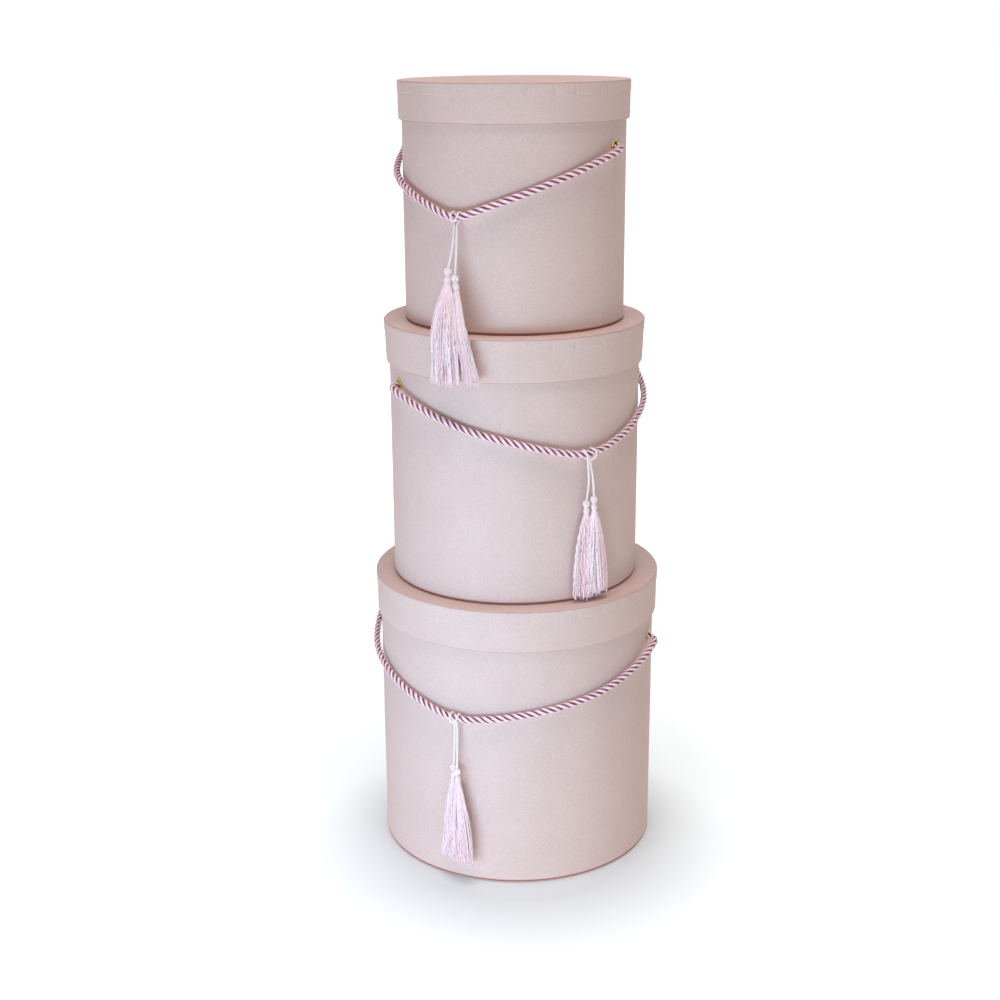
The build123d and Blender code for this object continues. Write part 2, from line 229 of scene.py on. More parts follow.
# --- Eyelets and stopper knots ---
EYELET_HOLE = 3.85 * MM
EYELET_BORE = 3.3 * MM
EYELET_BARREL = 3.8 * MM
EYELET_FLANGE = 6 * MM
EYELET_LIP = 1.1 * MM  # how far the lip stands out
EYELET_LIP_FLAT = (4.1 * MM, 5.1 * MM)  # the lip's highest ring
EYELET_FLARE = 4.9 * MM
EYELET_ROUNDING = (0.35, 0.7, 0.7, 0.3, 0, 0, 0, 0.15, 0.2, 0.3)  # millimetres, by corner
EYELET_SIDES = 64
HOLE_SIDES = 40
FLARE_THICKNESS = 0.5 * MM
WASHER_GAP = 0.25 * MM
KNOT_RADIUS = 7.3 * MM
KNOT_FLAT = 6.3 * MM
KNOT_GAP = 0.35 * MM
TAIL_LENGTH = 16 * MM
TAIL_RADIUS = 2.8 * MM

# --- Hitch and tassels ---
WRAP_STAND_OFF = 3.95 * MM  # the hitch cord's centre from the handle's centre
LEG_DROP = 6.3 * MM  # from the handle's centre to where the legs leave the hitch
LEG_SPREAD = 1.05 * MM
LEG_BENDS = (0.22, 0.55)  # how far over to its ball a leg is at each bend
LEAN_DROP = 90 * MM
BALL_RADIUS = 3.1 * MM
BALL_LEADS, BALL_BIGHTS = 3, 4
BALL_TILT = 0.92  # radians, how far up and down the ball its cord runs
BALL_SINK = 0.9  # its cord's centre inside the ball's surface, in cord radii
NECK_RADIUS = 2 * MM
NECK_DROP = 8.5 * MM  # from the ball to where the yarns begin to spread
BINDING_DROP = 6.4 * MM
BINDING_TURNS = 4
BINDING_STEPS = 20  # round each turn
BINDING_SIDES = 8
HEM_DEPTH = 4.2 * MM
SKIRT_TOP = 0.55 * BALL_RADIUS  # the yarns start this far below the ball's centre
YARNS = 150
YARN_RADIUS = 0.42 * MM
YARN_RINGS = 44
YARN_SIDES = 6
YARN_PITCH = 1.5 * MM  # of its twist
GOLDEN_ANGLE = 2.39996  # places the yarns evenly over the skirt's section
CLUMPS = 11
CLUMP_PULL = 0.45
CLUMP_TINT = 0.15  # how much of a yarn's tint its clump sets
HEM_RISE, HEM_UNEVEN = 1.5, 1.8  # millimetres
TURN_DRIFT = 0.12  # radians, at the hem
REACH_LOSS, REACH_DRIFT = 0.1, 0.03  # shares of the skirt's half size
TIP_TAPER = 0.35
CRIMP = 0.28 * MM
CRIMP_WAVES = (5, 9)  # millimetres, shortest and longest
SWAY = 0.45 * MM
HEM_STRAY = 0.5 * MM
# How pink the binding yarn is: painted shade at the tassel's neck.
NECK_PAINTED_SHADE = 0.25


@dataclass(frozen=True)
class Tassel:
    """One tassel in millimetres from the hitch: sideways (right is +) and down."""

    side: str
    ball_offset: float
    ball_drop: float
    hem_offset: float
    hem_drop: float
    hem_width: float
    fullness: float  # how soon the yarns spread below the neck
    front: float = 0.0  # how far it hangs in front of its neighbour


@dataclass(frozen=True)
class Trim:
    """A box's cord and tassels, in millimetres, with the route as (turn, stand-off, height)."""

    name: str
    seed: int
    draw: float  # how much less the rim's radius is at its lower edge
    eyelet_turn: float
    eyelet_height: float
    hitch: int  # the route's point just before the hitch
    wraps: tuple  # how far left and right of the hitch its two wraps stand
    loose: tuple  # how far each wrap bulges out of line
    sag: float  # how far the hitch's bight sags; minus is up over the handle's front
    bow: float  # how far the legs bow sideways
    shift: float  # how far to its right the hitch's foot and the legs are pulled
    route: tuple
    tassels: tuple
    lean: float = 0.0  # how far out the tassels hang at LEAN_DROP, over the lid below


LARGE = Trim(
    name="large", seed=11, draw=0.5, eyelet_turn=71, eyelet_height=196, hitch=10,
    wraps=(-2.6, 3.8), loose=(0.3, 0.1), sag=-2.9, bow=0, shift=1.4,
    route=(
        (71, 3.6, 196), (69, 8.3, 194.5), (65, 7.6, 191.4), (57.8, 6.2, 185.6), (47, 5.2, 178.4),
        (33.5, 5, 171), (19, 5, 165.4), (5, 5, 160.4), (-8, 5.2, 156), (-16.5, 6, 153.8),
        (-22, 6.6, 153), (-28, 6.4, 153.8), (-37, 5.6, 158), (-48, 5.2, 163.6), (-61, 5, 170.6),
        (-74, 5.2, 177.2), (-86, 5.4, 182.2), (-97, 6.2, 187.4), (-103.2, 7.4, 191.4),
        (-107, 8.3, 194.5), (-109, 3.6, 196),
    ),
    tassels=(
        Tassel("left", -1.4, 46.2, -6.4, 131, 8.2, 2.3),
        Tassel("right", 3.4, 48, 9, 132.5, 9.8, 2.3, front=3.6),
    ),
)
MEDIUM = Trim(
    name="medium", seed=12, draw=1.3, eyelet_turn=-65, eyelet_height=174, hitch=10,
    wraps=(-8.6, -1), loose=(0.1, 1.9), sag=-1.4, bow=1.6, shift=-3.4,
    route=(
        (-65, 3.6, 174), (-62.7, 8.3, 172.5), (-58.2, 7.6, 170), (-50.5, 6.2, 166),
        (-39.5, 5.2, 159.6), (-26.5, 5, 151.6), (-12.5, 5, 145), (2, 5, 138.4), (15, 5.2, 132.2),
        (24.2, 6, 128.4), (30.4, 6.6, 127), (36.6, 6.4, 127.8), (45.5, 5.6, 131.8),
        (57.5, 5.2, 138.4), (70.5, 5.2, 146.6), (83.5, 5.4, 153.8), (95.5, 5.8, 160.2),
        (103.6, 6.4, 165.4), (108.6, 7.4, 169.2), (112.7, 8.3, 172.5), (115, 3.6, 174),
    ),
    tassels=(
        Tassel("left", -5.8, 42.4, -2.7, 124, 15.4, 2.6),
        Tassel("right", 0, 39, 5.4, 120, 11.4, 2.6, front=2.6),
    ),
)
SMALL = Trim(
    name="small", seed=13, draw=0.2, eyelet_turn=60, eyelet_height=144.5, hitch=9,
    wraps=(-0.2, 5.4), loose=(0.2, 0.3), sag=-3.4, bow=0.6, shift=2,
    route=(
        (60, 3.6, 144.5), (57.3, 8.3, 143.1), (52.2, 7.6, 140.2), (43.2, 6.2, 135.4),
        (31, 5.2, 128.4), (15.5, 5, 119.2), (0.5, 5, 109.8), (-12, 5.4, 102.6),
        (-20.4, 6.2, 97.2), (-26.4, 6.6, 93.6), (-32.4, 6.4, 93.8), (-42, 5.6, 99.4),
        (-55, 5.2, 106.8), (-69.5, 5.2, 114.2), (-84.5, 5.4, 121.2), (-98, 5.8, 128),
        (-107.2, 6.4, 134.2), (-112.6, 7.4, 138.8), (-117.3, 8.3, 142.9), (-120, 3.6, 144.5),
    ),
    tassels=(
        Tassel("left", -0.4, 41.5, 2.2, 130, 13.4, 3.6, front=2),
        Tassel("right", 5.6, 46.6, 25.6, 127, 8.2, 1.1),
    ),
    lean=17.9,
)


# --- Placing ---


def outward(turn):
    return Vector((sin(radians(turn)), -cos(radians(turn)), 0))


def sideways(turn):
    return Vector((cos(radians(turn)), sin(radians(turn)), 0))


class Box:
    """One box's real sizes, read from the frame, and the places on it."""

    def __init__(self, trim):
        self.trim, self.name = trim, trim.name
        low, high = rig.box(f"{self.name}_wall_paper")
        self.wall = max(high.x - low.x, high.y - low.y) / 2
        self.middle = (low.x + high.x) / 2
        self.wall_top = high.z
        self.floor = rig.box(f"{self.name}_base_paper")[0].z
        low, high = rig.box(f"{self.name}_lid_rim_paper")
        self.lid = max(high.x - low.x, high.y - low.y) / 2
        self.rim_bottom, self.rim_edge = low.z, high.z
        low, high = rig.box(f"{self.name}_lid_top_paper")
        self.tabs_end, self.top = low.z, high.z
        self.draw = trim.draw * MM / (self.top - self.rim_bottom)

    def centre(self, height=0):
        return Vector((self.middle, 0, self.floor + height))

    def place(self, turn, stand_off, height):
        """The point at a turn, a stand-off from the wall and a height, both in millimetres."""
        out = outward(turn) * (self.wall + stand_off * MM)
        return self.centre(height * MM) + out

    def drawn(self, radius, z):
        """A rim radius at a height, with the rim's slight draw taken off."""
        return radius - self.draw * (self.top - z)

    def eyelet_turns(self):
        return self.trim.eyelet_turn, self.trim.eyelet_turn - 180

    def eyelet_centre(self):
        return self.centre(self.trim.eyelet_height * MM)

    def washer_seat(self):
        return self.wall - 2 * PAPER - WALL_BOARD - WASHER_GAP

    def knot_centre(self):
        return self.washer_seat() - 2 * FLARE_THICKNESS - KNOT_GAP - KNOT_FLAT

    def route(self):
        """The handle's control points, from one stopper knot to the other."""
        start = (self.knot_centre() + KNOT_FLAT - self.wall) / MM
        ends = [(turn, start, self.trim.eyelet_height) for turn in self.eyelet_turns()]
        return [self.place(*point) for point in (ends[0], *self.trim.route, ends[1])]

    def hitch_points(self):
        i = self.trim.hitch
        return [self.place(*point) for point in self.trim.route[i:i + 2]]

    def hitch_centre(self):
        before, after = self.hitch_points()
        return (before + after) / 2

    def hitch_turn(self):
        i = self.trim.hitch
        return (self.trim.route[i][0] + self.trim.route[i + 1][0]) / 2

    def hanging(self, offset, drop, out=0):
        """A point of a tassel, sideways, down and outwards from the hitch, with its lean."""
        share = (drop - LEG_DROP) / (LEAN_DROP - LEG_DROP)
        out += self.trim.lean * MM * min(max(share, 0), 1)
        turn = self.hitch_turn()
        return (self.hitch_centre() + sideways(turn) * offset + outward(turn) * out
                - Vector((0, 0, drop)))


# --- Meshes ---


def new_object(name, data):
    thing = bpy.data.objects.new(name, data)
    bpy.context.scene.collection.objects.link(thing)
    return thing


def mesh_object(name, points, faces, material, sharp=35, numbers=None):
    """A smooth-shaded mesh with sharp edges above an angle, and a number per vertex."""
    mesh = bpy.data.meshes.new(name)
    faces = faces.tolist() if isinstance(faces, np.ndarray) else faces
    mesh.from_pydata(np.asarray(points, float).tolist(), [], faces)
    mesh.validate()
    mesh.shade_smooth()
    mesh.set_sharp_from_angle(angle=radians(sharp))
    for label, values in (numbers or {}).items():
        attribute = mesh.attributes.new(label, "FLOAT", "POINT")
        attribute.data.foreach_set("value", np.asarray(values, np.float32))
    mesh.materials.append(material)
    return new_object(name, mesh)


def grid_faces(rows, columns, ring_rows=False, start=0):
    """Quads over a grid of rows by columns: each row is a ring, and the rows can be too."""
    r = np.arange(rows if ring_rows else rows - 1)
    r, c = (a.ravel() for a in np.meshgrid(r, np.arange(columns), indexing="ij"))
    r2, c2 = (r + 1) % rows, (c + 1) % columns
    corners = (r * columns + c, r * columns + c2, r2 * columns + c2, r2 * columns + c)
    return np.stack(corners, axis=1) + start


def rounded(points, radii, steps=6, closed=False):
    """A 2-D line with arcs of the given radii in its corners (0 keeps a corner)."""
    points, line = np.asarray(points, float), []
    for i, radius in enumerate(radii):
        here = points[i]
        if radius == 0 or (not closed and i in (0, len(points) - 1)):
            line.append(here)
            continue
        back, ahead = points[i - 1] - here, points[(i + 1) % len(points)] - here
        back, ahead = back / np.linalg.norm(back), ahead / np.linalg.norm(ahead)
        half = np.arccos(np.clip(back @ ahead, -1, 1)) / 2
        middle = (back + ahead) / np.linalg.norm(back + ahead)
        centre = here + middle * radius / np.sin(half)
        a, b = (here + way * radius / np.tan(half) - centre for way in (back, ahead))
        for share in np.linspace(0, 1, steps):
            spoke = a * (1 - share) + b * share
            line.append(centre + spoke * radius / np.linalg.norm(spoke))
    return np.array(line)


def divided(line, longest):
    """The same 2-D line with its long runs divided."""
    out = [line[0]]
    for a, b in zip(line, line[1:]):
        parts = max(1, int(np.ceil(np.linalg.norm(b - a) / longest)))
        out += [a + (b - a) * k / parts for k in range(1, parts + 1)]
    return np.array(out)


def paper_loop(line):
    """The closed section of a sheet of paper whose outer face is the line, board on its right."""
    ways = np.gradient(line, axis=0)
    ways /= np.linalg.norm(ways, axis=1)[:, None]
    back = line + np.stack([ways[:, 1], -ways[:, 0]], axis=1) * PAPER
    return np.concatenate([line, back[::-1]])


def wrap_turns(edge_turns=()):
    """Turns of a wrap's columns: evenly round, and close together at each free edge."""
    turns = np.arange(ROUND_STEPS) * 360 / ROUND_STEPS - 180
    extra = [edge + d for edge in edge_turns for d in FREE_EDGE_TURNS]
    return np.unique(np.concatenate([turns, extra]))


def revolved(box, name, loop, turns, relief, materials, handled, heights=None):
    """A wrap: a closed section of (radius, height) points taken round, with a relief.

    The last numbers, one per point, say how much of the paper's dark edge colour is laid on there: painted shade along
    the base's fold and under the rim, and a darker line along the lid's top edge.
    """
    radius = loop[None, :, 0] + relief(turns[:, None], loop[None, :, 0], loop[None, :, 1])
    height = np.broadcast_to(loop[None, :, 1], radius.shape) if heights is None else heights
    angle = np.radians(turns)[:, None]
    points = np.stack([box.middle + radius * np.sin(angle), -radius * np.cos(angle), height],
                      axis=2)
    faces = grid_faces(len(turns), len(loop), ring_rows=True)
    return mesh_object(f"{box.name}_{name}", points.reshape(-1, 3), faces,
                       materials["blush_paper"],
                       numbers={"handled": np.tile(handled, len(turns))})


def ease(x):
    x = np.clip(x, 0, 1)
    return x * x * (3 - 2 * x)


def outer_share(radii, face, depth, fade=MM):
    """1 on a wrap's outer face, falling to 0 at a depth behind it."""
    return ease((radii - face + depth) / fade)


def waves(box, turns, heights):
    """Slow unevenness of hand-rolled board, the same for a lid and its box."""
    a, z = np.radians(turns), (heights - box.floor) / (box.top - box.floor)
    phase = float(box.trim.seed)
    return WAVE * (0.5 * np.sin(2 * a + phase) + 0.3 * np.sin(3 * a - 2 * phase + 1.5 * z)
                   + 0.2 * np.sin(5 * a + 3 * phase - 2.0 * z))


def overlap(box, turns):
    """Rise of a wrap over its own end, in paper thicknesses: steep at its free edge."""
    arc = np.radians((turns - OVERLAP_TURN) % 360) * box.wall
    return ease(1 - (arc - OVERLAP) / OVERLAP_EASE)


# --- Paper wraps ---


def wall_wrap(box, materials):
    """The drum's paper, over its top edge and round under its base, pierced for the eyelets."""
    inner, low = box.wall - 2 * PAPER - WALL_BOARD, box.floor + PAPER
    crease = low + BASE_RADIUS + CREASE_FADE
    outline = [(inner, box.wall_top - TURN_IN), (inner, box.wall_top), (box.wall, box.wall_top),
               (box.wall, crease), (box.wall, low), (box.wall - BASE_TURN_IN, low)]
    line = rounded(outline, (0, FOLD_RADIUS, FOLD_RADIUS, 0, BASE_RADIUS, 0))
    loop = paper_loop(divided(line, 8 * MM))

    def relief(turns, radii, heights):
        below_rim = ease((box.rim_bottom - heights) / (8 * MM))
        shown = SEAM_UNDER_RIM + (1 - SEAM_UNDER_RIM) * below_rim
        seam = PAPER * overlap(box, turns) * shown
        return outer_share(radii, box.wall, WALL_DEPTH) * (waves(box, turns, heights) + seam)

    # Painted shade: a dark line along the base's fold, where the box meets what it stands on.
    handled = BASE_PAINTED_SHADE * ease((crease - loop[:, 1]) / CREASE_FADE)
    piece = revolved(box, "wall_wrap", loop, wrap_turns([OVERLAP_TURN]), relief, materials,
                     handled)
    pierce(piece, box)
    return piece


def spokes(turn, sides):
    """Angles round an eyelet's axis, each with the way that it points."""
    angles = [2 * pi * k / sides for k in range(sides)]
    return [(a, sideways(turn) * cos(a) + Vector((0, 0, sin(a)))) for a in angles]


def pierce(piece, box):
    """Cuts the two round eyelet holes straight through."""
    length = 2 * box.wall + 20 * MM
    turn, sides = box.trim.eyelet_turn, HOLE_SIDES
    corners = [box.eyelet_centre() + outward(turn) * end + spoke * EYELET_HOLE
               for end in (-length / 2, length / 2) for _, spoke in spokes(turn, sides)]
    faces = grid_faces(2, sides).tolist()
    faces += [list(range(sides))[::-1], list(range(sides, 2 * sides))]
    cutter_mesh = bpy.data.meshes.new("cutter")
    cutter_mesh.from_pydata(corners, [], faces)
    cutter = new_object("cutter", cutter_mesh)
    cut = piece.modifiers.new("holes", "BOOLEAN")
    cut.operation, cut.solver, cut.object = "DIFFERENCE", "EXACT", cutter
    graph = bpy.context.evaluated_depsgraph_get()
    mesh = bpy.data.meshes.new_from_object(piece.evaluated_get(graph))
    piece.modifiers.clear()
    piece.data = mesh
    bpy.data.objects.remove(cutter)


class Tabs:
    """The tabs that the lid's top paper is cut into, with V-shaped notches between them."""

    def __init__(self, box):
        self.box, rng = box, np.random.default_rng(box.trim.seed)
        count = round(2 * pi * box.lid / TAB_WIDTH)
        spots = np.arange(count) + rng.uniform(-TAB_UNEVEN, TAB_UNEVEN, count)
        self.spots = spots * 360 / count - 180
        self.slants = rng.uniform(-TAB_SLANT, TAB_SLANT, count)
        self.depths = box.top - box.tabs_end - rng.uniform(0, 1, count) * TAB_JITTER

    def nearest(self, turns, heights):
        """For each point: how far round it is from its nearest notch, its drop, the tabs' depth."""
        near = np.abs((turns[..., None] - self.spots + 180) % 360 - 180).argmin(-1)
        down, depth = self.box.top - heights, self.depths[near]
        away = np.radians((turns - self.spots[near] + 180) % 360 - 180) * self.box.lid
        return np.abs(away - self.slants[near] * down / depth), down, depth

    def relief(self, turns, heights):
        """How much of the tabs' thickness shows through the rim's paper."""
        away, down, depth = self.nearest(turns, heights)
        half = TAB_NOTCH_TOP + (TAB_NOTCH - TAB_NOTCH_TOP) * np.clip(down / depth, 0, 1)
        beside = ease((away - half + TAB_SOFT) / TAB_SOFT)
        return beside * (1 - ease((down - depth) / TAB_SOFT))

    def drop_share(self, turns):
        """How far down the turned-down edge reaches at each turn: little in a notch."""
        away, _, _ = self.nearest(turns, np.full(np.shape(turns), self.box.tabs_end))
        return np.clip((away - TAB_NOTCH_TOP) / (TAB_NOTCH - TAB_NOTCH_TOP), TAB_UNCUT, 1)


def lid_top_wrap(box, materials):
    """The lid's round top paper, its edge cut into tabs and turned down over the rim."""
    edge, tabs = box.lid - PAPER, Tabs(box)
    fold = box.top - FOLD_RADIUS
    outline = [(0.4 * MM, box.top), (edge, box.top),
               (box.drawn(edge, box.tabs_end), box.tabs_end)]
    loop = paper_loop(divided(rounded(outline, (0, FOLD_RADIUS, 0)), 12 * MM))
    turns = wrap_turns()
    heights = np.broadcast_to(loop[:, 1], (len(turns), len(loop)))
    cut = fold - (fold - heights) * tabs.drop_share(turns)[:, None]
    heights = np.where(heights < fold, cut, heights)

    def relief(turns, radii, heights):
        return outer_share(radii, edge, TOP_DEPTH, 2 * MM) * waves(box, turns, heights)

    # A thin darker line along the lid's top fold, in the paper's dark edge colour.
    away = np.abs(loop[:, 0] - edge + TOP_EDGE_DARKENING_INSET)
    handled = TOP_EDGE_DARKENING * ease(1 - away / TOP_EDGE_DARKENING_FADE)
    return revolved(box, "lid_top_wrap", loop, turns, relief, materials, handled, heights)


def lid_rim_wrap(box, materials):
    """The rim's paper strip, over the tabs, down the rim and up inside it."""
    face, board = box.lid - PAPER, box.lid - 2 * PAPER
    inside = board - RIM_BOARD - PAPER
    low, turned_in = box.rim_bottom, box.rim_bottom + TURN_IN
    outline = [(box.drawn(face, box.rim_edge), box.rim_edge), (box.drawn(face, low), low),
               (box.drawn(inside, low), low), (box.drawn(inside, turned_in), turned_in)]
    line = rounded(outline, (0, RIM_FOLD_RADIUS, RIM_FOLD_RADIUS, 0))
    tabs_low = box.tabs_end - 3 * MM
    fine = [p for p in divided(line[:2], 0.5 * MM) if p[1] > tabs_low]
    loop = paper_loop(np.concatenate([fine, divided(line[1:], 6 * MM)]))
    tabs = Tabs(box)

    def relief(turns, radii, heights):
        shown = TAB_HEIGHT * tabs.relief(*np.broadcast_arrays(turns, heights))
        rise = waves(box, turns, heights) + shown + PAPER * overlap(box, turns)
        return outer_share(radii, face, RIM_DEPTH) * rise

    # Painted shadow: a darker line along the rim's lower fold, where the rim overhangs the wall.
    handled = RIM_PAINTED_SHADOW * ease((low + RIM_FOLD_RADIUS - loop[:, 1]) / RIM_PAINTED_SHADOW_FADE)
    return revolved(box, "lid_rim_wrap", loop, wrap_turns([OVERLAP_TURN]), relief, materials,
                    handled)


# --- Eyelets ---


def eyelet_pair(box, materials):
    """Two rolled brass eyelets: a domed lip outside, a barrel, and a flare inside."""
    out, seat = box.wall, box.washer_seat() - FLARE_THICKNESS
    lip_start, lip_end = EYELET_LIP_FLAT
    section = [
        (EYELET_BORE, out + 0.5 * EYELET_LIP), (lip_start, out + EYELET_LIP),
        (lip_end, out + EYELET_LIP), (EYELET_FLANGE, out + 0.35 * EYELET_LIP),
        (EYELET_FLANGE, out), (EYELET_BARREL, out), (EYELET_BARREL, seat),
        (EYELET_FLARE, seat), (EYELET_FLARE, seat - FLARE_THICKNESS),
        (EYELET_BORE, seat - FLARE_THICKNESS),
    ]
    loop = rounded(section, [r * MM for r in EYELET_ROUNDING], closed=True)
    points, faces, sides = [], [], EYELET_SIDES
    for turn in box.eyelet_turns():
        faces.append(grid_faces(sides, len(loop), ring_rows=True, start=len(points)))
        for a, spoke in spokes(turn, sides):
            for reach, stand in loop:
                sag = (reach * cos(a)) ** 2 / (2 * box.wall) * (stand > out - 0.1 * MM)
                points.append(box.eyelet_centre() + outward(turn) * (stand - sag)
                              + spoke * reach)
    return mesh_object(f"{box.name}_eyelet_pair", points, np.concatenate(faces),
                       materials["brass"], sharp=50)


# --- Twisted cords ---


def smooth_line(points):
    """Points along the NURBS curve that has these as its control points."""
    curve = bpy.data.curves.new("route", "CURVE")
    curve.dimensions, curve.resolution_u = "3D", ROUTE_STEPS
    spline = curve.splines.new("NURBS")
    spline.points.add(len(points) - 1)
    for spot, point in zip(spline.points, points):
        spot.co = (*point, 1)
    spline.order_u = 3
    spline.use_endpoint_u = True
    holder = bpy.data.objects.new("route", curve)
    mesh = bpy.data.meshes.new_from_object(holder)
    line = np.array([v.co for v in mesh.vertices], float)
    bpy.data.objects.remove(holder)
    return line


def through(points, steps=12):
    """A smooth line through all of the points."""
    p = np.array([list(point) for point in points], float)
    p = np.concatenate([[2 * p[0] - p[1]], p, [2 * p[-1] - p[-2]]])
    t = np.linspace(0, 1, steps, endpoint=False)[:, None]
    runs = [0.5 * (2 * b + (c - a) * t + (2 * a - 5 * b + 4 * c - d) * t ** 2
                   + (3 * b - a - 3 * c + d) * t ** 3)
            for a, b, c, d in zip(p, p[1:], p[2:], p[3:])]
    return np.concatenate(runs + [p[-2:-1]])


def lengths_along(line):
    return np.concatenate([[0], np.cumsum(np.linalg.norm(np.diff(line, axis=0), axis=1))])


def evenly(line, step):
    """The line again, with points about a step apart."""
    along = lengths_along(line)
    at = np.linspace(0, along[-1], max(3, int(np.ceil(along[-1] / step)) + 1))
    return np.stack([np.interp(at, along, line[:, k]) for k in range(3)], axis=1)


def unit(vectors):
    return vectors / np.maximum(np.linalg.norm(vectors, axis=-1, keepdims=True), 1e-12)


def level_frames(line):
    """Two normals that turn as little as they can along the line."""
    ahead = unit(np.gradient(line, axis=0))
    side = np.cross(ahead[0], (0, 0, 1))
    normals = np.zeros_like(line)
    for i, way in enumerate(ahead):
        side = side - way * (side @ way)
        side = side / np.linalg.norm(side)
        normals[i] = side
    return normals, np.cross(ahead, normals)


class Tubes:
    """Tubes of one mesh, with numbers that say where on its tube each vertex is."""

    def __init__(self, sides):
        self.sides, self.points, self.faces, self.numbers = sides, [], [], []

    def add(self, centres, normals, radius, along, tint):
        """Rings of a tube round its centres; its two ends are closed by one face each."""
        ahead = unit(np.gradient(centres, axis=0))
        out = unit(normals - ahead * (normals * ahead).sum(1, keepdims=True))
        beside = np.cross(ahead, out)
        sides, count, start = self.sides, len(centres), sum(map(len, self.points))
        a = np.arange(sides) * 2 * pi / sides
        radius = np.broadcast_to(np.asarray(radius, float), (count,))[:, None, None]
        rings = (centres[:, None] + radius * (out[:, None] * np.cos(a)[None, :, None]
                                              + beside[:, None] * np.sin(a)[None, :, None]))
        self.points.append(rings.reshape(-1, 3))
        last = start + (count - 1) * sides
        self.faces += grid_faces(count, sides, start=start).tolist()
        self.faces += [list(range(start, start + sides))[::-1], list(range(last, last + sides))]
        self.numbers.append([np.repeat(along, sides), np.tile(a, count),
                             np.tile(np.cos(a), count), np.full(count * sides, tint)])

    def mesh(self, name, material, sharp):
        labels = ("along", "around", "crown", "tint")
        numbers = dict(zip(labels, np.concatenate(self.numbers, axis=1)))
        return mesh_object(name, np.concatenate(self.points), self.faces, material, sharp,
                           numbers)


def twisted(name, line, material, radius, strand, lay, sides):
    """A cord of strands laid right-handed round a line."""
    along, strands = lengths_along(line), Tubes(sides)
    n, b = level_frames(line)
    for k in range(STRANDS):
        turn = (k / STRANDS + along / lay)[:, None] * 2 * pi
        spoke = n * np.cos(turn) + b * np.sin(turn)
        strands.add(line + spoke * (radius - strand), spoke, strand, along, k / STRANDS)
    return strands.mesh(name, material, sharp=70)


def joined(name, pieces):
    """Several pieces as one."""
    for piece in bpy.context.selected_objects:
        piece.select_set(False)
    for piece in pieces:
        piece.select_set(True)
    bpy.context.view_layer.objects.active = pieces[0]
    bpy.ops.object.join()
    pieces[0].name = name
    return pieces[0]


def knot_line(centre, across, size, steps=120):
    """A closed trefoil, lying square to `across`."""
    t = np.linspace(0, 2 * pi, steps)
    x, y, z = np.sin(t) + 2 * np.sin(2 * t), np.cos(t) - 2 * np.cos(2 * t), -np.sin(3 * t)
    w = np.array(Vector(across).normalized())
    u = unit(np.cross(w, KNOT_UP))
    v = np.cross(w, u)
    spots = x[:, None] * u + y[:, None] * v + KNOT_DEPTH * z[:, None] * w
    return np.array(centre) + size * spots


def handle_rope(box, materials):
    """The handle, three satin strands laid together from knot to knot, and its line."""
    line = evenly(smooth_line(box.route()), ROPE_STEP)
    rope = twisted(f"{box.name}_handle_rope", line, materials["handle_cord"], ROPE_RADIUS,
                   ROPE_STRAND, ROPE_LAY, ROPE_SIDES)
    return rope, line


def stopper_knots(box, materials):
    """The handle's two knotted ends inside the box, each with a short tail."""
    parts = []
    for i, turn in enumerate(box.eyelet_turns()):
        centre = box.eyelet_centre() + outward(turn) * box.knot_centre()
        knot = knot_line(centre, outward(turn), (KNOT_RADIUS - ROPE_RADIUS) / 3)
        tail = np.array([centre + outward(turn) * (KNOT_FLAT * 0.9),
                         centre - outward(turn) * TAIL_LENGTH])
        for name, line in (("knot", knot), ("tail", tail)):
            parts.append(twisted(f"{name}_{i}", evenly(line, KNOT_STEP),
                                 materials["handle_cord"], TAIL_RADIUS, TAIL_RADIUS / 2,
                                 ROPE_LAY, CORD_SIDES))
    return joined(f"{box.name}_stopper_knots", parts)


# --- Hitch and tassels ---


def hitch_loops(box, materials):
    """The tassel cord's lark's head: two wraps over the handle, joined by a bight."""
    before, after = box.hitch_points()
    along = (after - before).normalized()
    if along.dot(sideways(box.hitch_turn())) < 0:
        along = -along
    out = outward(box.hitch_turn())
    out = (out - along * out.dot(along)).normalized()
    up = along.cross(out) * (1 if along.cross(out).z > 0 else -1)

    def spot(side, forward, height):
        return box.hitch_centre() + along * side + out * forward + up * height

    def round_handle(side, reach, angle):
        """A point beside the handle, at an angle up from the front."""
        return spot(side, reach * cos(radians(angle)), reach * sin(radians(angle)))

    def wrap(x, loose, sign):
        """From a leg, up the handle's back, over it, down its front and in to the bight."""
        lift, shift, reach = -box.trim.sag * 0.7, box.trim.shift * MM, WRAP_STAND_OFF
        near = (x * 3 + shift) / 4
        return [
            spot(shift + sign * LEG_SPREAD, 0.0, -LEG_DROP - 0.8 * MM),
            spot(shift + sign * LEG_SPREAD * 1.1, -0.4 * MM, -5.4 * MM),
            round_handle((x + shift) / 2, reach, 240),
            round_handle(near, reach, 195),
            round_handle(x * 0.9 + shift * 0.1, reach, 150),
            round_handle(x, reach, 105),
            round_handle(x + sign * loose * 0.45, reach + loose * 0.1, 62),
            round_handle(x + sign * loose, reach + loose * 0.2, 20),
            round_handle(near + sign * loose, reach + loose * 0.3, -20 + 8 * lift),
            spot(near + sign * loose * 0.6, (3.2 + lift / 2) * MM, (lift - 4.0) * MM),
            spot(shift + sign * (1.6 * MM + loose * 0.2), (2.6 + lift / 2) * MM,
                 (lift * 1.3 - 5.3) * MM),
        ]

    (left, right), (slack_left, slack_right) = box.trim.wraps, box.trim.loose
    points = wrap(left * MM, slack_left * MM, -1)
    bight = -box.trim.sag * MM
    points.append(spot(box.trim.shift * MM, 2.5 * MM + bight / 2, bight - 5.7 * MM))
    points += wrap(right * MM, slack_right * MM, 1)[::-1]
    line = evenly(through(points), CORD_STEP)
    return tassel_cord(f"{box.name}_hitch_loops", line, materials)


def tassel_cord(name, line, materials):
    """The tassel's thin cord along a line."""
    return twisted(name, line, materials["tassel_cord"], CORD_RADIUS, CORD_STRAND, CORD_LAY,
                   CORD_SIDES)


